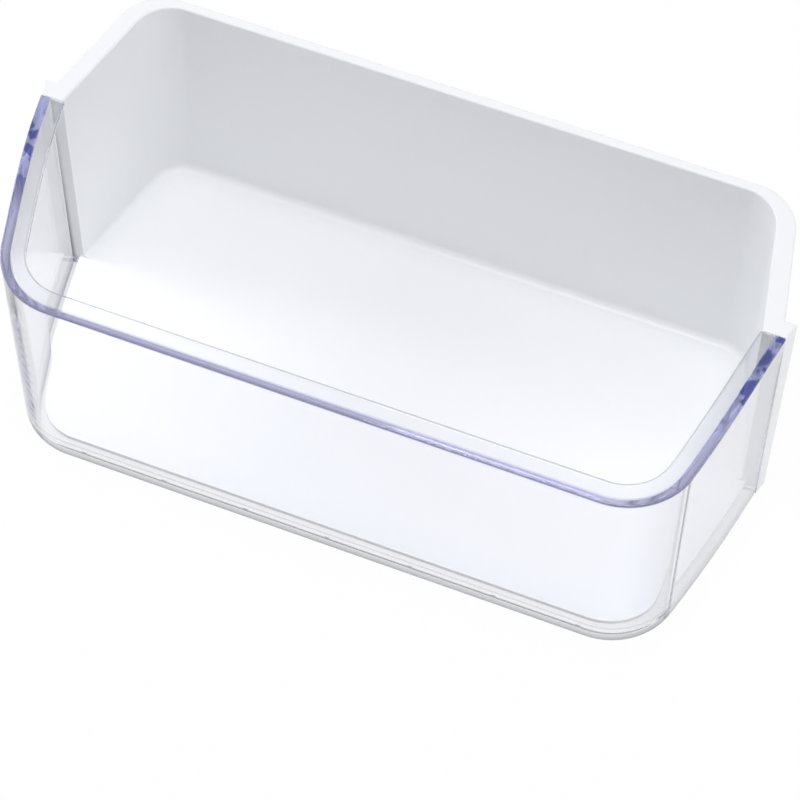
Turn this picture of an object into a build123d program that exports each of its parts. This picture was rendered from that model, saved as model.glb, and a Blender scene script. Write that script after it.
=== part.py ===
"""Refrigerator door bin: a white rear shell and a clear front, fixed together.

Millimetres. +Z is up, the front faces -Y, and the origin is on the resting plane
under the middle of the bin.
"""
import os
from math import radians, tan

from build123d import *

# Overall size
seam_width = 380.0
overall_depth = 189.0
rim_height = 140.0
front_height = 129.0
seam_from_front = 109.0
draft_angle = 0.5

# Clear front
front_wall = 4.0
side_wall = 5.0
side_taper = 16.0
side_bow = 8.0
front_corner_radius = 37.0
lip_width = 12.4
lip_thickness = 2.4
ledge_width = 14.0
ledge_thickness = 2.6
ledge_base = 5.2
rim_level_length = 12.0
rim_flat_length = 14.0
clear_edge_radius = 0.9

# White rear shell
shell_wall = 2.6
post_face = 11.5
back_narrowing = 33.0
shell_corner_radius = 20.0
floor_thickness = 2.6
floor_fillet = 4.0
base_fillet = 5.0
rim_back = 5.2
rim_side = 10.2
rim_thickness = 3.0
rim_corner_radius = 26.0
rim_edge_radius = 1.2
skirt_drop = 8.0
skirt_wall = 2.2
tab_depth = 9.8
tab_step = 2.5
post_wall = 2.6

# Underside ribs
rib_wall = 2.2
rib_count = 7
rib_pitch = 44.0
cross_rib_count = 3
cross_rib_pitch = 56.0

# Clearances
seam_gap = 0.15
floor_edge_gap = 4.2
rib_ledge_gap = 2.0
overshoot = 40.0
touching = 0.001

# Lines that follow from the sizes above
front_y = -overall_depth / 2
back_y = overall_depth / 2
seam_y = front_y + seam_from_front
tab_y = seam_y + tab_depth
shell_back_y = back_y - rim_back
floor_bottom = ledge_base + ledge_thickness
floor_top = floor_bottom + floor_thickness
shell_seam_width = seam_width - 2 * post_face
shell_flare = back_narrowing / 2 / (shell_back_y - seam_y)
wide = seam_width + 2 * overshoot
tall = rim_height + overshoot


def slab(y_min, y_max, z_min, z_max):
    """Wide block between two depths and two heights."""
    block = Box(wide, y_max - y_min, z_max - z_min)
    return Pos(0, (y_min + y_max) / 2, (z_min + z_max) / 2) * block


def drawn_down(face, depth=rim_height):
    """Solid under a face at rim height, narrowing downwards by the moulding draft."""
    return extrude(Pos(0, 0, rim_height) * face, amount=depth, dir=(0, 0, -1), taper=draft_angle)


def side_x(y):
    """Outer half width of the clear side wall at depth y, at rim height."""
    along = (seam_y - y) / seam_from_front
    return seam_width / 2 - side_taper * along - side_bow * along * along


def clear_plan(side_inset=0.0, front_inset=0.0):
    """Plan of the clear front, carried on behind the seam."""
    start_y = seam_y + overshoot
    end_y = front_y + front_inset
    middle_y = (start_y + end_y) / 2
    start, middle, corner = [(side_x(y) - side_inset, y) for y in (start_y, middle_y, end_y)]
    right = ThreePointArc(start, middle, corner)
    left = mirror(right, about=Plane.YZ)
    front = Line(corner, (-corner[0], end_y))
    back = Line(start, (-start[0], start_y))
    face = make_face([right, front, left, back])
    return fillet(face.vertices().group_by(Axis.Y)[0], front_corner_radius - front_inset)


def shell_x(y):
    """Inner half width of the white side wall at depth y, at rim height."""
    return shell_seam_width / 2 - shell_flare * (y - seam_y)


def trapezium(front_half, y_front, back_half, y_back):
    """Face with two straight flared sides."""
    return make_face(Polyline(
        (front_half, y_front),
        (back_half, y_back),
        (-back_half, y_back),
        (-front_half, y_front),
        close=True,
    ))


def shell_plan(grow=0.0):
    """Inner plan of the white shell, carried on in front of the seam."""
    y_front = seam_y - overshoot
    face = trapezium(shell_x(y_front), y_front, shell_x(shell_back_y), shell_back_y)
    face = fillet(face.vertices().group_by(Axis.Y)[-1], shell_corner_radius)
    return offset(face, amount=grow) if grow else face


def rim_plan(inset=0.0):
    """Outer plan of the rim behind the tabs."""
    y_front = tab_y
    face = trapezium(shell_x(y_front) + rim_side, y_front, shell_x(back_y) + rim_side, back_y)
    face = fillet(face.vertices().group_by(Axis.Y)[-1], rim_corner_radius)
    return offset(face, amount=-inset) if inset else face


def tab_plan(inset=0.0):
    """Plan of the two end posts, from the seam to the back of the tabs."""
    y_front = seam_y + inset
    y_back = tab_y + (overshoot if inset else 0.0)
    half = seam_width / 2 - inset
    spread = tab_step / tab_depth
    return trapezium(half + spread * inset, y_front, half + spread * (y_back - seam_y), y_back)


def above_rim():
    """Space above the falling rim of the clear front."""
    start = (seam_y + overshoot, rim_height)
    fall = (seam_y - rim_level_length, rim_height)
    land = (front_y + rim_flat_length, front_height)
    end = (front_y - overshoot, front_height)
    curve = Spline(fall, land, tangents=[(-1, 0), (-1, 0)])
    top = Polyline(end, (end[0], tall + overshoot), (start[0], tall + overshoot), start)
    face = make_face([Line(start, fall), curve, Line(land, end), top])
    return extrude(Plane.YZ * face, amount=wide / 2, both=True)


def on_falling_rim(edge, over):
    """Whether an edge lies on top of the clear wall or lip, short of the seam."""
    rearmost = max((edge @ 0).Y, (edge @ 1).Y)
    short_of_seam = rearmost < seam_y - seam_gap + touching
    return short_of_seam and over.distance_to(edge @ 0.5) < touching


def build_clear_front():
    """Clear wall with its inward lip and floor ledge."""
    plan = clear_plan()
    inside = drawn_down(clear_plan(side_wall, front_wall))
    lip_inside = drawn_down(offset(plan, amount=-lip_width))
    ledge_inside = drawn_down(offset(plan, amount=-ledge_width))
    over = above_rim()
    wall = drawn_down(plan) - inside - over
    lip_layer = Pos(0, 0, -lip_thickness) * over - over
    lip = (inside - lip_inside) & lip_layer
    ledge = (inside - ledge_inside) & slab(front_y, seam_y, ledge_base, floor_bottom)
    front = wall + lip + ledge
    front = front - slab(seam_y - seam_gap, back_y + overshoot, -overshoot, tall)
    rim_edges = front.edges().filter_by(lambda edge: on_falling_rim(edge, over))
    return fillet(rim_edges, clear_edge_radius)


def build_floor():
    """Floor plate in front of the seam, with its edge clear of the clear wall."""
    edge = drawn_down(offset(clear_plan(side_wall, front_wall), amount=-floor_edge_gap))
    return edge & slab(front_y, seam_y + shell_wall, floor_bottom, floor_top)


def build_ribs():
    """Shallow ribs under the floor, down to the resting plane."""
    inset = ledge_width + rib_ledge_gap
    front_y_limit = front_y + inset + tan(radians(draft_angle)) * rim_height
    back_y_limit = shell_back_y - inset
    length = back_y_limit - front_y_limit
    middle = (back_y_limit + front_y_limit) / 2
    span = rib_pitch * (rib_count - 1) + rib_wall
    centre = Pos(0, middle, floor_bottom / 2)
    rib = Box(rib_wall, length, floor_bottom)
    cross_rib = Box(span, rib_wall, floor_bottom)
    ribs = [centre * spot * rib for spot in GridLocations(rib_pitch, 0, rib_count, 1)]
    cross_ribs = [centre * spot * cross_rib for spot in GridLocations(0, cross_rib_pitch, 1, cross_rib_count)]
    return Part() + ribs + cross_ribs


def foot_edges(block):
    """Bottom edges of a shell block, without the one across its open front."""
    bottom = block.edges().group_by(Axis.Z)[0]
    return bottom.sort_by(Axis.Y)[1:]


def build_rear_shell():
    """White shell: walls, floor, rim with skirt, end posts and underside ribs."""
    behind = slab(seam_y, back_y + overshoot, -overshoot, tall)
    cavity = drawn_down(shell_plan(), rim_height - floor_top)
    cavity = fillet(foot_edges(cavity), floor_fillet)
    block = drawn_down(shell_plan(shell_wall))
    block = fillet(foot_edges(block), base_fillet)
    inner = drawn_down(shell_plan(-shell_wall))
    hollow_under = inner & slab(seam_y - overshoot, back_y, -overshoot, floor_bottom)
    tray = (block - cavity - hollow_under) & behind
    opening = extrude(Pos(0, 0, rim_height) * shell_plan(), amount=-rim_thickness - skirt_drop)
    rim = extrude(Pos(0, 0, rim_height) * (rim_plan() + tab_plan()), amount=-rim_thickness)
    skirt = rim_plan() - rim_plan(skirt_wall)
    skirt = extrude(Pos(0, 0, rim_height) * skirt, amount=-skirt_drop) & slab(tab_y, back_y, 0, rim_height)
    posts = drawn_down(tab_plan()) - drawn_down(tab_plan(post_wall)) - drawn_down(shell_plan())
    shell = tray + (rim - opening) + (skirt - opening) + posts
    rim_edges = shell.edges().filter_by_position(Axis.Z, rim_height - touching, rim_height + touching)
    return fillet(rim_edges, rim_edge_radius) + build_floor() + build_ribs()


os.makedirs("parts", exist_ok=True)
export_step(build_rear_shell(), "parts/rear_shell.step")
export_step(build_clear_front(), "parts/clear_front.step")
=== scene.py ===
"""Looks of a refrigerator door bin: a satin white rear shell, a clear violet-tinted front and a white studio.

Metres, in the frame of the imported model: +Z is up and the clear front faces -Y.
"""
import logging
import math
from dataclasses import dataclass, field, replace
from enum import Enum

import bpy
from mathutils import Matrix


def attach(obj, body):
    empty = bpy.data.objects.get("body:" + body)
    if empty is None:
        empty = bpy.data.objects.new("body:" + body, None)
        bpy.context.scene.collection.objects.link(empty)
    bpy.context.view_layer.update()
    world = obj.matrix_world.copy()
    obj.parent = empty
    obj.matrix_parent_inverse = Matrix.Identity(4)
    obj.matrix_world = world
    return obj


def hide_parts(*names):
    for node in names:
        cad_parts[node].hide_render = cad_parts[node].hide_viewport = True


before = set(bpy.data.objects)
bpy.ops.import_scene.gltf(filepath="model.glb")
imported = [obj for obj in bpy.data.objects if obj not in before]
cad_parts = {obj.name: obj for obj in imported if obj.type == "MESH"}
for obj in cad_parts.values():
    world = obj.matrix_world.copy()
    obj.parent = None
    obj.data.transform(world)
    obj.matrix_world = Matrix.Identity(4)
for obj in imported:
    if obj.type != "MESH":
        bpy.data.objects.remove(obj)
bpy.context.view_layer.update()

log = logging.getLogger("door_bin")

Colour = tuple[float, float, float, float]
Point = tuple[float, float, float]
TONES = "edge_tones"
IMAGE_SIZE = 800
PLAIN_WHITE: Colour = (1.0, 1.0, 1.0, 1.0)
WIPE_STRETCH: Point = (0.16, 1.0, 1.0)
WIPE_TURN = math.radians(17.0)
SKIN_DETAIL = {"Grain": 2.0, "Flow": 3.0, "Wipe": 4.0}


class Slot(Enum):
    """Material slots of the record."""

    WHITE = "white_plastic"
    CLEAR = "clear_plastic"


class Ray(Enum):
    """Kinds of ray that see the plain white background."""

    CAMERA = "Is Camera Ray"
    GLOSSY = "Is Glossy Ray"
    TRANSMISSION = "Is Transmission Ray"


class Tree:
    """Short way to add and join nodes in one node tree."""

    def __init__(self, tree: bpy.types.NodeTree) -> None:
        """Keep the tree.

        Args:
            tree: the node tree to add to.
        """
        self.tree = tree

    def add(self, kind: str, **values: object) -> bpy.types.Node:
        """Add one node and set its properties.

        Args:
            kind: the node's type name.
            values: properties of the node, by name.

        Returns:
            The new node.
        """
        node = self.tree.nodes.new(kind)
        for name, value in values.items():
            setattr(node, name, value)
        return node

    def join(self, source: bpy.types.NodeSocket, target: bpy.types.NodeSocket) -> None:
        """Link an output to an input.

        Args:
            source: the output.
            target: the input.
        """
        self.tree.links.new(source, target)

    def maths(self, operation: str, first: object, second: object) -> bpy.types.NodeSocket:
        """Add a Math node on two values or sockets.

        Args:
            operation: the Math node's operation.
            first: first value or socket.
            second: second value or socket.

        Returns:
            The result's socket.
        """
        node = self.add("ShaderNodeMath", operation=operation)
        for slot, given in zip(node.inputs, (first, second)):
            if isinstance(given, bpy.types.NodeSocket):
                self.join(given, slot)
            else:
                slot.default_value = given
        return node.outputs[0]

    def span(self, value: bpy.types.NodeSocket, low: float, high: float) -> bpy.types.NodeSocket:
        """Map a value of 0 to 1 onto a range.

        Args:
            value: socket with the value.
            low: result at 0.
            high: result at 1.

        Returns:
            The result's socket.
        """
        node = self.add("ShaderNodeMapRange")
        self.join(value, node.inputs["Value"])
        node.inputs["To Min"].default_value = low
        node.inputs["To Max"].default_value = high
        return node.outputs["Result"]

    def ramp(self, value: bpy.types.NodeSocket, none: float, full: float) -> bpy.types.NodeSocket:
        """Make a soft mask from a value.

        Args:
            value: socket with the value.
            none: value where the mask is 0.
            full: value where the mask is 1.

        Returns:
            The mask's socket.
        """
        node = self.add("ShaderNodeMapRange", interpolation_type="SMOOTHSTEP")
        self.join(value, node.inputs["Value"])
        node.inputs["From Min"].default_value = min(none, full)
        node.inputs["From Max"].default_value = max(none, full)
        node.inputs["To Min"].default_value = float(none > full)
        node.inputs["To Max"].default_value = float(none < full)
        return node.outputs["Result"]

    def blend(self, mask: bpy.types.NodeSocket, first: object, second: object) -> bpy.types.NodeSocket:
        """Mix two colours by a mask.

        Args:
            mask: 0 for the first colour, 1 for the second.
            first: first colour or socket.
            second: second colour or socket.

        Returns:
            The mixed colour's socket.
        """
        node = self.add("ShaderNodeMix", data_type="RGBA")
        slots = [slot for slot in node.inputs if slot.type == "RGBA"]
        for slot, given in zip(slots, (first, second)):
            if isinstance(given, bpy.types.NodeSocket):
                self.join(given, slot)
            else:
                slot.default_value = given
        self.join(mask, node.inputs["Factor"])
        return [slot for slot in node.outputs if slot.type == "RGBA"][0]

    def axes(self) -> tuple[bpy.types.NodeSocket, bpy.types.NodeSocket, bpy.types.NodeSocket]:
        """Give the object's own coordinates: width from the middle, depth and height.

        Returns:
            The three sockets.
        """
        place = self.add("ShaderNodeTexCoord")
        split = self.add("ShaderNodeSeparateXYZ")
        self.join(place.outputs["Object"], split.inputs["Vector"])
        return self.maths("ABSOLUTE", split.outputs["X"], 0.0), split.outputs["Y"], split.outputs["Z"]


def fresh_material(name: str) -> tuple[bpy.types.Material, Tree, bpy.types.Node]:
    """Make an empty node material.

    Args:
        name: the material's name.

    Returns:
        The material, its tree and its output node.
    """
    material = bpy.data.materials.new(name)
    material.use_nodes = True
    tree = Tree(material.node_tree)
    material.node_tree.nodes.clear()
    return material, tree, tree.add("ShaderNodeOutputMaterial")


def moulded_skin() -> bpy.types.NodeTree:
    """Build the shared effect of a moulded skin: fine grain, slow flow and faint wipe marks.

    Returns:
        The node group, with Grain, Flow and Wipe outputs from 0 to 1.
    """
    group = bpy.data.node_groups.new("moulded_skin", "ShaderNodeTree")
    group.interface.new_socket("Position", in_out="INPUT", socket_type="NodeSocketVector")
    for name in SKIN_DETAIL:
        group.interface.new_socket(f"{name} Scale", in_out="INPUT", socket_type="NodeSocketFloat")
    for name in SKIN_DETAIL:
        group.interface.new_socket(name, in_out="OUTPUT", socket_type="NodeSocketFloat")
    tree = Tree(group)
    given = tree.add("NodeGroupInput")
    result = tree.add("NodeGroupOutput")
    stretch = tree.add("ShaderNodeMapping")
    stretch.inputs["Scale"].default_value = WIPE_STRETCH
    stretch.inputs["Rotation"].default_value = (0.0, 0.0, WIPE_TURN)
    tree.join(given.outputs["Position"], stretch.inputs["Vector"])
    for name, detail in SKIN_DETAIL.items():
        source = stretch.outputs["Vector"] if name == "Wipe" else given.outputs["Position"]
        noise = tree.add("ShaderNodeTexNoise")
        noise.inputs["Detail"].default_value = detail
        tree.join(source, noise.inputs["Vector"])
        tree.join(given.outputs[f"{name} Scale"], noise.inputs["Scale"])
        tree.join(noise.outputs["Fac"], result.inputs[name])
    return group


@dataclass(frozen=True)
class Skin:
    """Scales of the moulded skin on one material, in cycles per metre."""

    grain_scale: float
    flow_scale: float
    wipe_scale: float

    def place(self, tree: Tree, group: bpy.types.NodeTree) -> bpy.types.Node:
        """Place the shared effect in a material.

        Args:
            tree: the material's tree.
            group: the shared node group.

        Returns:
            The group node.
        """
        node = tree.add("ShaderNodeGroup", node_tree=group)
        place = tree.add("ShaderNodeTexCoord")
        tree.join(place.outputs["Object"], node.inputs["Position"])
        node.inputs["Grain Scale"].default_value = self.grain_scale
        node.inputs["Flow Scale"].default_value = self.flow_scale
        node.inputs["Wipe Scale"].default_value = self.wipe_scale
        return node


@dataclass(frozen=True)
class WhitePlastic:
    """Opaque satin white polystyrene, with painted shade where the clear wall butts on the end posts, on the
    rim's top face and towards the front of the floor.
    """

    name: str = "white_satin_plastic"
    light_tone: Colour = (0.885, 0.895, 0.91, 1.0)
    deep_tone: Colour = (0.86, 0.87, 0.887, 1.0)
    roughness_low: float = 0.34
    roughness_high: float = 0.44
    ior: float = 1.55
    # painted shade: the dark tone of the contact shadow along the seam
    seam_tone: Colour = (0.24, 0.245, 0.255, 1.0)
    seam_line_x: float = 0.1862
    seam_lean: float = math.tan(math.radians(0.5))
    seam_face_y: float = 0.0145
    seam_fade: float = 0.0042
    seam_sharpness: float = 2.0
    seam_face_none: float = 0.0006
    seam_face_full: float = 0.0002
    seam_deep_z: float = 0.012
    seam_rim_share: float = 0.35
    rim_height: float = 0.140
    # painted shade: the rim's top face is a deeper white, so that the brightly lit top stays below plain
    # white
    rim_top_shade: Colour = (0.83, 0.842, 0.86, 1.0)
    rim_top_drop: float = 0.0006
    # painted shade: the floor is a deeper white towards the front, which keeps its brightly lit front below
    # plain white
    front_floor_shade: Colour = (0.80, 0.812, 0.832, 1.0)
    front_begin_y: float = 0.030
    front_full_y: float = -0.060
    grain_height: float = 0.00003
    grain_strength: float = 0.25
    skin: Skin = Skin(grain_scale=1400.0, flow_scale=14.0, wipe_scale=60.0)

    def material(self, group: bpy.types.NodeTree) -> bpy.types.Material:
        """Build the material.

        Args:
            group: the shared skin effect.

        Returns:
            The finished material.
        """
        material, tree, output = fresh_material(self.name)
        shader = tree.add("ShaderNodeBsdfPrincipled")
        shader.inputs["IOR"].default_value = self.ior
        skin = self.skin.place(tree, group)
        plain = tree.blend(skin.outputs["Flow"], self.deep_tone, self.light_tone)
        _, depth, height = tree.axes()
        # painted shade towards the front of the floor
        front = tree.ramp(depth, self.front_begin_y, self.front_full_y)
        plain = tree.blend(front, plain, self.front_floor_shade)
        # painted shade on the rim's top face, within rim_top_drop of the rim height
        drop = tree.maths("SUBTRACT", self.rim_height, height)
        plain = tree.blend(tree.ramp(drop, self.rim_top_drop, 0.0), plain, self.rim_top_shade)
        # blend in the painted contact shadow along the seam
        tree.join(tree.blend(self.seam_shade(tree), plain, self.seam_tone), shader.inputs["Base Color"])
        roughness = tree.span(skin.outputs["Wipe"], self.roughness_low, self.roughness_high)
        tree.join(roughness, shader.inputs["Roughness"])
        bump = tree.add("ShaderNodeBump")
        bump.inputs["Strength"].default_value = self.grain_strength
        bump.inputs["Distance"].default_value = self.grain_height
        tree.join(skin.outputs["Grain"], bump.inputs["Height"])
        tree.join(bump.outputs["Normal"], shader.inputs["Normal"])
        tree.join(shader.outputs["BSDF"], output.inputs["Surface"])
        return material

    def seam_shade(self, tree: Tree) -> bpy.types.NodeSocket:
        """Paint a contact shadow on the face of the end posts along the line where the clear wall butts on
        it: painted shade, deepest low down.

        Args:
            tree: the material's tree.

        Returns:
            The mask's socket.
        """
        width, depth, height = tree.axes()
        drop = tree.maths("SUBTRACT", self.rim_height, height)
        lean = tree.maths("MULTIPLY", drop, self.seam_lean)
        line = tree.maths("SUBTRACT", self.seam_line_x, lean)
        away = tree.maths("ABSOLUTE", tree.maths("SUBTRACT", width, line), 0.0)
        near = tree.maths("POWER", tree.ramp(away, self.seam_fade, 0.0), self.seam_sharpness)
        face = tree.maths("SUBTRACT", tree.maths("SUBTRACT", depth, lean), self.seam_face_y)
        off_face = tree.maths("ABSOLUTE", face, 0.0)
        on_face = tree.ramp(off_face, self.seam_face_none, self.seam_face_full)
        low = tree.span(tree.ramp(height, self.rim_height, self.seam_deep_z), self.seam_rim_share, 1.0)
        return tree.maths("MULTIPLY", tree.maths("MULTIPLY", near, on_face), low)


@dataclass(frozen=True)
class ClearPlastic:
    """Polished clear polystyrene, with a violet tint that is strongest on top of the rim."""

    name: str = "clear_violet_plastic"
    roughness_low: float = 0.01
    roughness_high: float = 0.035
    ior: float = 1.57
    tint: Colour = (0.125, 0.125, 0.69, 1.0)
    tint_density: float = 1.5
    clear_tone: Colour = (0.94, 0.945, 0.957, 1.0)
    side_tone: Colour = (0.77, 0.78, 0.80, 1.0)
    # painted shade: the grey that the rounded edges, base, ledge and lip blend towards
    edge_shade_tone: Colour = (0.15, 0.155, 0.175, 1.0)
    top_tone: Colour = (0.68, 0.68, 0.95, 1.0)
    rim_tone: Colour = (0.37, 0.37, 0.62, 1.0)
    seam_tone: Colour = (0.46, 0.51, 1.0, 1.0)
    blot_tone: Colour = (0.014, 0.024, 0.30, 1.0)
    blot_scale: float = 105.0
    blot_low: float = 0.50
    blot_high: float = 0.57
    blot_detail: float = 2.0
    seam_begin_y: float = -0.055
    seam_full_y: float = -0.025
    side_begin_x: float = 0.150
    side_full_x: float = 0.178
    streak_low: float = 0.25
    streak_high: float = 0.75
    streak_least: float = 0.85
    lamp_pass: Colour = (0.93, 0.93, 0.97, 1.0)
    ripple_height: float = 0.00008
    ripple_strength: float = 0.03
    skin: Skin = Skin(grain_scale=260.0, flow_scale=22.0, wipe_scale=90.0)

    def material(self, group: bpy.types.NodeTree) -> bpy.types.Material:
        """Build the material.

        Args:
            group: the shared skin effect.

        Returns:
            The finished material.
        """
        material, tree, output = fresh_material(self.name)
        shader = tree.add("ShaderNodeBsdfPrincipled")
        shader.inputs["Transmission Weight"].default_value = 1.0
        shader.inputs["IOR"].default_value = self.ior
        skin = self.skin.place(tree, group)
        tree.join(self.colour(tree, skin), shader.inputs["Base Color"])
        roughness = tree.span(skin.outputs["Wipe"], self.roughness_low, self.roughness_high)
        tree.join(roughness, shader.inputs["Roughness"])
        bump = tree.add("ShaderNodeBump")
        bump.inputs["Strength"].default_value = self.ripple_strength
        bump.inputs["Distance"].default_value = self.ripple_height
        tree.join(skin.outputs["Flow"], bump.inputs["Height"])
        tree.join(bump.outputs["Normal"], shader.inputs["Normal"])
        through = tree.add("ShaderNodeBsdfTransparent")
        through.inputs["Color"].default_value = self.lamp_pass
        path = tree.add("ShaderNodeLightPath")
        mix = tree.add("ShaderNodeMixShader")
        tree.join(path.outputs["Is Shadow Ray"], mix.inputs["Fac"])
        tree.join(shader.outputs["BSDF"], mix.inputs[1])
        tree.join(through.outputs["BSDF"], mix.inputs[2])
        tree.join(mix.outputs["Shader"], output.inputs["Surface"])
        tint = tree.add("ShaderNodeVolumeAbsorption")
        tint.inputs["Color"].default_value = self.tint
        tint.inputs["Density"].default_value = self.tint_density
        tree.join(tint.outputs["Volume"], output.inputs["Volume"])
        return material

    def colour(self, tree: Tree, skin: bpy.types.Node) -> bpy.types.NodeSocket:
        """Colour the surface: greyer side walls, grey edges of painted shade that stand in for the dark
        underside and shaded edges seen through the clear plastic, a violet rim and blue spots near the seam.

        Args:
            tree: the material's tree.
            skin: the placed skin effect.

        Returns:
            The colour's socket.
        """
        width, depth, _ = tree.axes()
        tones = tree.add("ShaderNodeSeparateColor")
        given = tree.add("ShaderNodeAttribute", attribute_name=TONES)
        tree.join(given.outputs["Color"], tones.inputs["Color"])
        wiped = tree.ramp(skin.outputs["Wipe"], self.streak_low, self.streak_high)
        streak = tree.span(wiped, self.streak_least, 1.0)
        side = tree.maths("MULTIPLY", tree.ramp(width, self.side_begin_x, self.side_full_x), streak)
        colour = tree.blend(side, self.clear_tone, self.side_tone)
        # painted shade on the rounded edges, base, ledge and lip
        colour = tree.blend(tones.outputs["Red"], colour, self.edge_shade_tone)
        colour = tree.blend(tones.outputs["Blue"], colour, self.top_tone)
        colour = tree.blend(tones.outputs["Green"], colour, self.rim_tone)
        noise = tree.add("ShaderNodeTexNoise")
        noise.inputs["Scale"].default_value = self.blot_scale
        noise.inputs["Detail"].default_value = self.blot_detail
        tree.join(tree.add("ShaderNodeTexCoord").outputs["Object"], noise.inputs["Vector"])
        spots = tree.ramp(noise.outputs["Fac"], self.blot_low, self.blot_high)
        rearward = tree.ramp(depth, self.seam_begin_y, self.seam_full_y)
        near_seam = tree.maths("MULTIPLY", rearward, tones.outputs["Blue"])
        colour = tree.blend(near_seam, colour, self.seam_tone)
        return tree.blend(tree.maths("MULTIPLY", spots, near_seam), colour, self.blot_tone)


@dataclass
class Moulding:
    """One moulding of the bin, which stands for its solid."""

    node: str
    slot: Slot
    crease_angle: float = math.radians(32.0)
    weld_distance: float = 0.000002
    body: str = "root"
    piece: bpy.types.Object | None = field(default=None, init=False)

    def finish_mesh(self) -> None:
        """Weld the active mesh, and shade it smooth up to its creases."""
        piece = bpy.context.object
        bpy.ops.object.mode_set(mode="EDIT")
        bpy.ops.mesh.select_all(action="SELECT")
        bpy.ops.mesh.remove_doubles(threshold=self.weld_distance)
        bpy.ops.object.mode_set(mode="OBJECT")
        bpy.ops.object.shade_smooth_by_angle(angle=self.crease_angle)
        even = piece.modifiers.new("even_normals", "WEIGHTED_NORMAL")
        even.keep_sharp = True
        bpy.ops.object.modifier_apply(modifier=even.name)
        self.piece = piece

    def dress(self, material: bpy.types.Material) -> None:
        """Give the piece its material and its place in the frame.

        Args:
            material: the finish of this moulding.
        """
        self.piece.data.materials.clear()
        self.piece.data.materials.append(material)
        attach(self.piece, self.body)
        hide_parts(self.node)
        log.info("%s: %d faces", self.piece.name, len(self.piece.data.polygons))


@dataclass
class RearShell(Moulding):
    """White rear shell: walls, floor, rim with skirt, end posts and underside ribs."""

    node: str = "rear_shell"
    slot: Slot = Slot.WHITE

    def build(self) -> None:
        """Copy the solid's mesh, weld it and shade it smooth."""
        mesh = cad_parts[self.node].data.copy()
        piece = bpy.data.objects.new("white_shell", mesh)
        bpy.context.scene.collection.objects.link(piece)
        bpy.ops.object.select_all(action="DESELECT")
        bpy.context.view_layer.objects.active = piece
        piece.select_set(True)
        if mesh.has_custom_normals:
            bpy.ops.mesh.customdata_custom_splitnormals_clear()
        self.finish_mesh()


@dataclass(frozen=True)
class Station:
    """One place along the outer plan of the clear front, with its inward direction."""

    x: float
    y: float
    inward_x: float
    inward_y: float

    def mirrored(self) -> "Station":
        """Give the same place on the other side.

        Returns:
            The mirrored station.
        """
        return Station(-self.x, self.y, -self.inward_x, self.inward_y)


@dataclass(frozen=True)
class SectionPoint:
    """One corner of the wall's section: inward offset, height as rise * rim + lift, and edge tones.

    The tones are the share of grey edge (painted shade), of violet rim line and of rim top.
    """

    offset: float
    rise: float
    lift: float
    grey: float = 0.0
    line: float = 0.0
    top: float = 0.0


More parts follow.
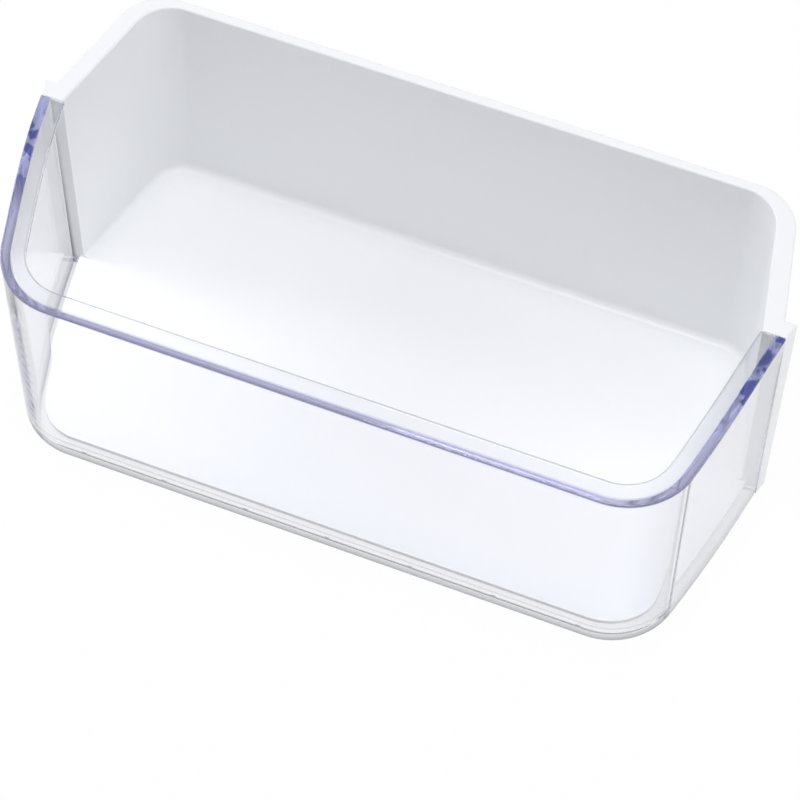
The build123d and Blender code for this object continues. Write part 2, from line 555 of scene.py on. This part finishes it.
@dataclass
class ClearFront(Moulding):
    """Clear front: bowed wall, falling rim with inward lip, and floor ledge."""

    node: str = "clear_front"
    slot: Slot = Slot.CLEAR
    seam_width: float = 0.380
    overall_depth: float = 0.189
    rim_height: float = 0.140
    front_height: float = 0.129
    seam_from_front: float = 0.109
    draft: float = math.tan(math.radians(0.5))
    front_wall: float = 0.004
    side_wall: float = 0.005
    side_taper: float = 0.016
    side_bow: float = 0.008
    side_run_on: float = 0.040
    front_corner_radius: float = 0.037
    lip_width: float = 0.0124
    lip_thickness: float = 0.0024
    ledge_width: float = 0.014
    ledge_top: float = 0.0077
    ledge_base: float = 0.0052
    rim_level_length: float = 0.012
    rim_flat_length: float = 0.014
    rim_radius: float = 0.0009
    base_radius: float = 0.0026
    foot_radius: float = 0.0006
    tone_fade: float = 0.0012
    # painted shade: shares of grey on the base, the wall's foot, the line at the floor's level, the lip, the
    # ledge end and the foot
    base_grey: float = 0.9
    wall_foot_grey: float = 0.6
    wall_foot_top_grey: float = 0.45
    inner_line_grey: float = 0.5
    lip_grey: float = 0.75
    lip_side_ease: float = 0.5
    lip_under_share: float = 1 / 3
    ledge_end_grey: float = 0.1
    foot_grey: float = 0.6
    rim_middle_line: float = 0.1
    rim_inner_line: float = 0.8
    seam_gap: float = 0.00015
    spare_end: float = 0.006
    side_steps: int = 40
    corner_steps: int = 60
    front_steps: int = 12
    arc_steps: int = 5
    wall_steps: int = 8
    settle_steps: int = 3

    def __post_init__(self) -> None:
        """Work out the lines that follow from the sizes."""
        self.front_y = -self.overall_depth / 2
        self.seam_y = self.front_y + self.seam_from_front

    def side_x(self, y: float) -> float:
        """Give the outer half width at one depth, at rim height.

        Args:
            y: the depth.

        Returns:
            The half width.
        """
        along = (self.seam_y - y) / self.seam_from_front
        return self.seam_width / 2 - self.side_taper * along - self.side_bow * along * along

    def side_circle(self) -> tuple[float, float, float]:
        """Find the circle that the bowed side follows.

        Returns:
            Centre x, centre y and radius.
        """
        first_y = self.seam_y + self.side_run_on
        depths = (first_y, (first_y + self.front_y) / 2, self.front_y)
        (ax, ay), (bx, by), (cx, cy) = [(self.side_x(y), y) for y in depths]
        double = 2 * (ax * (by - cy) + bx * (cy - ay) + cx * (ay - by))
        a2, b2, c2 = ax * ax + ay * ay, bx * bx + by * by, cx * cx + cy * cy
        x = (a2 * (by - cy) + b2 * (cy - ay) + c2 * (ay - by)) / double
        y = (a2 * (cx - bx) + b2 * (ax - cx) + c2 * (bx - ax)) / double
        return x, y, math.hypot(ax - x, ay - y)

    def stations(self) -> list[Station]:
        """List the places along the outer plan, from the right end round to the left end.

        Returns:
            The stations in order.
        """
        centre_x, centre_y, radius = self.side_circle()
        corner_y = self.front_y + self.front_corner_radius
        reach = radius - self.front_corner_radius
        corner_x = centre_x + math.sqrt(reach * reach - (corner_y - centre_y) ** 2)
        turn = math.atan2(corner_y - centre_y, corner_x - centre_x)
        begin = math.asin((self.seam_y + self.spare_end - centre_y) / radius)
        half: list[Station] = []
        for step in range(self.side_steps):
            angle = begin + (turn - begin) * step / self.side_steps
            half.append(Station(centre_x + radius * math.cos(angle), centre_y + radius * math.sin(angle),
                                -math.cos(angle), -math.sin(angle)))
        for step in range(self.corner_steps):
            angle = turn + (-math.pi / 2 - turn) * step / self.corner_steps
            half.append(Station(corner_x + self.front_corner_radius * math.cos(angle),
                                corner_y + self.front_corner_radius * math.sin(angle),
                                -math.cos(angle), -math.sin(angle)))
        for step in range(self.front_steps):
            half.append(Station(corner_x * (1 - step / self.front_steps), self.front_y, 0.0, 1.0))
        middle = Station(0.0, self.front_y, 0.0, 1.0)
        return half + [middle] + [station.mirrored() for station in reversed(half)]

    def rim_z(self, y: float) -> float:
        """Give the height of the rim at one depth: level at both ends, with a smooth fall between.

        Args:
            y: the depth.

        Returns:
            The height.
        """
        high = self.seam_y - self.rim_level_length
        low = self.front_y + self.rim_flat_length
        along = min(max((high - y) / (high - low), 0.0), 1.0)
        return self.rim_height - (self.rim_height - self.front_height) * along * along * (3 - 2 * along)

    def rounded(self, centre: SectionPoint, radius: float, start: float, end: float) -> list[SectionPoint]:
        """List the points of a rounded edge.

        Args:
            centre: centre of the rounding, with the edge's tones.
            radius: its radius.
            start: first angle in degrees.
            end: last angle in degrees.

        Returns:
            The points in order.
        """
        points = []
        for step in range(self.arc_steps + 1):
            angle = math.radians(start + (end - start) * step / self.arc_steps)
            points.append(replace(centre, offset=centre.offset + radius * math.cos(angle),
                                  lift=centre.lift + radius * math.sin(angle)))
        return points

    def section(self, wall: float) -> list[SectionPoint]:
        """List the corners of the wall's section, from the base round and back to it.

        Args:
            wall: wall thickness here.

        Returns:
            The closed section, with its first point repeated at the end.
        """
        rim, foot, base, fade = self.rim_radius, self.foot_radius, self.base_radius, self.tone_fade
        side = (wall - self.front_wall) / (self.side_wall - self.front_wall)
        lip_grey = self.lip_grey - self.lip_side_ease * side
        # the grey shares in this section are painted shade
        points = self.rounded(SectionPoint(base, 0.0, base, grey=self.base_grey), base, 270.0, 180.0)
        points.append(SectionPoint(0.0, 0.0, base + fade, grey=self.wall_foot_grey))
        points.append(SectionPoint(0.0, 0.0, base + 4 * fade, grey=self.wall_foot_top_grey))
        points.append(SectionPoint(0.0, 0.0, base + 5 * fade))
        for step in range(1, self.wall_steps):
            rise = step / self.wall_steps
            points.append(SectionPoint(0.0, rise, base * (1 - rise) - rim * rise))
        points.append(SectionPoint(0.0, 1.0, -rim - fade))
        points += self.rounded(SectionPoint(rim, 1.0, -rim, line=1.0, top=1.0), rim, 180.0, 90.0)
        points.append(SectionPoint(rim + fade / 2, 1.0, 0.0, line=self.rim_middle_line, top=1.0))
        points.append(SectionPoint(wall - fade, 1.0, 0.0, line=self.rim_middle_line, top=1.0))
        points.append(SectionPoint(wall - fade / 4, 1.0, 0.0, line=self.rim_inner_line, top=1.0))
        points.append(SectionPoint(wall + fade / 4, 1.0, 0.0))
        points.append(SectionPoint(self.lip_width - rim - fade / 4, 1.0, 0.0))
        lip_edge = SectionPoint(self.lip_width - rim, 1.0, -rim, grey=lip_grey)
        points += self.rounded(lip_edge, rim, 90.0, 0.0)
        under_grey = lip_grey * self.lip_under_share
        points.append(SectionPoint(self.lip_width, 1.0, -self.lip_thickness, grey=under_grey))
        points.append(SectionPoint(self.lip_width - fade / 4, 1.0, -self.lip_thickness))
        for step in range(self.wall_steps):
            fall = step / self.wall_steps
            lift = self.ledge_top * fall - self.lip_thickness * (1 - fall)
            points.append(SectionPoint(wall, 1 - fall, lift))
        points.append(SectionPoint(wall, 0.0, self.ledge_top + 3.5 * fade))
        points.append(SectionPoint(wall, 0.0, self.ledge_top + 2.5 * fade, grey=self.inner_line_grey))
        points.append(SectionPoint(wall, 0.0, self.ledge_top + 1.5 * fade))
        points.append(SectionPoint(wall, 0.0, self.ledge_top))
        points.append(SectionPoint(self.ledge_width, 0.0, self.ledge_top))
        points.append(SectionPoint(self.ledge_width, 0.0, self.ledge_base, grey=self.ledge_end_grey))
        points.append(SectionPoint(wall, 0.0, self.ledge_base))
        points += self.rounded(SectionPoint(wall - foot, 0.0, foot, grey=self.foot_grey), foot, 0.0, -90.0)
        return points + points[:1]

    def place(self, station: Station, point: SectionPoint) -> Point:
        """Put a corner of the section at a station, with the moulding draft.

        Args:
            station: place along the plan.
            point: corner of the section.

        Returns:
            The corner's place.
        """
        height = self.rim_height
        for _ in range(self.settle_steps):
            inset = point.offset + self.draft * (self.rim_height - height)
            y = station.y + station.inward_y * inset
            height = point.rise * self.rim_z(y) + point.lift
        return station.x + station.inward_x * inset, y, height

    def build(self) -> None:
        """Wrap a grid round the plan as the wall's section, cut it at the seam and close it."""
        rows = []
        for station in self.stations():
            wall = self.front_wall + (self.side_wall - self.front_wall) * station.inward_x ** 2
            rows.append([(self.place(station, point), point) for point in self.section(wall)])
        across, along = len(rows[0]) - 1, len(rows) - 1
        bpy.ops.object.select_all(action="DESELECT")
        bpy.ops.mesh.primitive_grid_add(x_subdivisions=across, y_subdivisions=along, size=1.0)
        piece = bpy.context.object
        piece.name = "clear_wall"
        tones = piece.data.attributes.new(TONES, "FLOAT_COLOR", "POINT")
        for vertex in piece.data.vertices:
            row = rows[round((vertex.co.y + 0.5) * along)]
            vertex.co, point = row[round((vertex.co.x + 0.5) * across)]
            tones.data[vertex.index].color = (point.grey, point.line, point.top, 1.0)
        bpy.ops.object.mode_set(mode="EDIT")
        bpy.ops.mesh.select_all(action="SELECT")
        bpy.ops.mesh.remove_doubles(threshold=self.weld_distance)
        bpy.ops.mesh.select_all(action="SELECT")
        bpy.ops.mesh.bisect(plane_co=(0.0, self.seam_y - self.seam_gap, 0.0), plane_no=(0.0, 1.0, 0.0),
                            use_fill=True, clear_outer=True)
        bpy.ops.mesh.select_mode(type="FACE")
        bpy.ops.mesh.select_all(action="DESELECT")
        bpy.ops.mesh.select_face_by_sides(number=4, type="GREATER", extend=False)
        bpy.ops.mesh.quads_convert_to_tris(ngon_method="BEAUTY")
        bpy.ops.mesh.select_all(action="SELECT")
        bpy.ops.mesh.normals_make_consistent(inside=False)
        bpy.ops.object.mode_set(mode="OBJECT")
        self.finish_mesh()


@dataclass(frozen=True)
class WhiteGround:
    """Plain white that fills the background and keeps a soft shadow."""

    name: str = "white_ground"
    colour: Colour = (0.9, 0.9, 0.9, 1.0)
    plain_share: float = 0.95
    fill_share: float = 0.2

    def material(self) -> bpy.types.Material:
        """Build the floor's material.

        Returns:
            The finished material.
        """
        material, tree, output = fresh_material(self.name)
        matt = tree.add("ShaderNodeBsdfDiffuse")
        matt.inputs["Color"].default_value = self.colour
        plain = tree.add("ShaderNodeEmission")
        mix = tree.add("ShaderNodeMixShader")
        plain_rays = tree.maths("MULTIPLY", seen_ray(tree), self.plain_share)
        tree.join(tree.maths("MAXIMUM", plain_rays, self.fill_share), mix.inputs["Fac"])
        tree.join(matt.outputs["BSDF"], mix.inputs[1])
        tree.join(plain.outputs["Emission"], mix.inputs[2])
        tree.join(mix.outputs["Shader"], output.inputs["Surface"])
        return material


def seen_ray(tree: Tree) -> bpy.types.NodeSocket:
    """Mark the rays that see the plain background.

    Args:
        tree: the tree to add to.

    Returns:
        A socket that is 1 for those rays.
    """
    path = tree.add("ShaderNodeLightPath")
    total = 0.0
    for ray in Ray:
        total = tree.maths("MAXIMUM", path.outputs[ray.value], total)
    return total


@dataclass(frozen=True)
class Lamp:
    """One soft box."""

    name: str
    place: Point
    aim: Point
    width: float
    height: float
    power: float

    def build(self) -> bpy.types.Object:
        """Add the lamp and turn it to its aim.

        Returns:
            The lamp.
        """
        data = bpy.data.lights.new(self.name, "AREA")
        data.shape = "RECTANGLE"
        data.size = self.width
        data.size_y = self.height
        data.energy = self.power
        lamp = bpy.data.objects.new(self.name, data)
        bpy.context.scene.collection.objects.link(lamp)
        lamp.location = self.place
        away = lamp.location - type(lamp.location)(self.aim)
        lamp.rotation_euler = away.to_track_quat("Z", "Y").to_euler()
        return lamp


@dataclass
class Studio:
    """White studio: floor, even sky, soft boxes and camera."""

    floor_half: float = 6.0
    floor_gap: float = 0.0002
    light_bounces: int = 40
    sky_level: float = 0.54
    sky_colour: Colour = (0.97, 0.98, 1.0, 1.0)
    lamps: tuple[Lamp, ...] = (
        Lamp("top_box", (0.0, -0.05, 2.4), (0.0, 0.0, 0.05), 0.9, 0.7, 20.8),
        Lamp("left_box", (-2.0, 0.12, 0.95), (0.0, 0.0, 0.05), 0.9, 0.7, 14.5),
        Lamp("right_box", (2.0, 0.12, 0.95), (0.0, 0.0, 0.05), 0.9, 0.7, 7.5),
    )
    camera_place: Point = (0.33558, -0.85526, 1.42019)
    camera_turn: Point = (32.965, -0.3325, 21.843)
    focal_pixels: float = 3337.7
    centre_pixels: tuple[float, float] = (394.75, 394.11)
    sensor: float = 36.0
    camera_reach: float = 100.0

    def build_floor(self, ground: WhiteGround) -> None:
        """Lay the floor.

        Args:
            ground: the floor's finish.
        """
        bpy.ops.object.select_all(action="DESELECT")
        bpy.ops.mesh.primitive_plane_add(size=2 * self.floor_half, location=(0.0, 0.0, -self.floor_gap))
        floor = bpy.context.object
        floor.name = "studio_floor"
        floor.data.materials.append(ground.material())

    def build_sky(self) -> None:
        """Light the scene evenly, and show plain white behind it."""
        world = bpy.data.worlds.new("studio_sky")
        world.use_nodes = True
        bpy.context.scene.world = world
        world.node_tree.nodes.clear()
        tree = Tree(world.node_tree)
        output = tree.add("ShaderNodeOutputWorld")
        sky = tree.add("ShaderNodeBackground")
        sky.inputs["Color"].default_value = self.sky_colour
        sky.inputs["Strength"].default_value = self.sky_level
        plain = tree.add("ShaderNodeBackground")
        plain.inputs["Color"].default_value = PLAIN_WHITE
        mix = tree.add("ShaderNodeMixShader")
        tree.join(seen_ray(tree), mix.inputs["Fac"])
        tree.join(sky.outputs["Background"], mix.inputs[1])
        tree.join(plain.outputs["Background"], mix.inputs[2])
        tree.join(mix.outputs["Shader"], output.inputs["Surface"])

    def build_camera(self) -> None:
        """Set the camera at the photograph's viewing angle."""
        data = bpy.data.cameras.new("view_camera")
        data.sensor_fit = "HORIZONTAL"
        data.sensor_width = self.sensor
        data.lens = self.focal_pixels * self.sensor / IMAGE_SIZE
        data.shift_x = (IMAGE_SIZE / 2 - self.centre_pixels[0]) / IMAGE_SIZE
        data.shift_y = (self.centre_pixels[1] - IMAGE_SIZE / 2) / IMAGE_SIZE
        data.clip_end = self.camera_reach
        camera = bpy.data.objects.new("view_camera", data)
        bpy.context.scene.collection.objects.link(camera)
        camera.location = self.camera_place
        camera.rotation_euler = [math.radians(angle) for angle in self.camera_turn]
        bpy.context.scene.camera = camera

    def build(self) -> None:
        """Build the whole studio."""
        scene = bpy.context.scene
        scene.view_settings.view_transform = "Standard"
        scene.cycles.max_bounces = self.light_bounces
        scene.cycles.glossy_bounces = self.light_bounces
        scene.cycles.transmission_bounces = self.light_bounces
        self.build_floor(WhiteGround())
        self.build_sky()
        for lamp in self.lamps:
            lamp.build()
        self.build_camera()


def main() -> None:
    """Build the bin and its studio."""
    logging.basicConfig(level=logging.INFO, format="%(name)s: %(message)s")
    skin = moulded_skin()
    rear_shell = RearShell()
    rear_shell.build()
    rear_shell.dress(WhitePlastic().material(skin))
    clear_front = ClearFront()
    clear_front.build()
    clear_front.dress(ClearPlastic().material(skin))
    Studio().build()


if __name__ == "__main__":
    main()
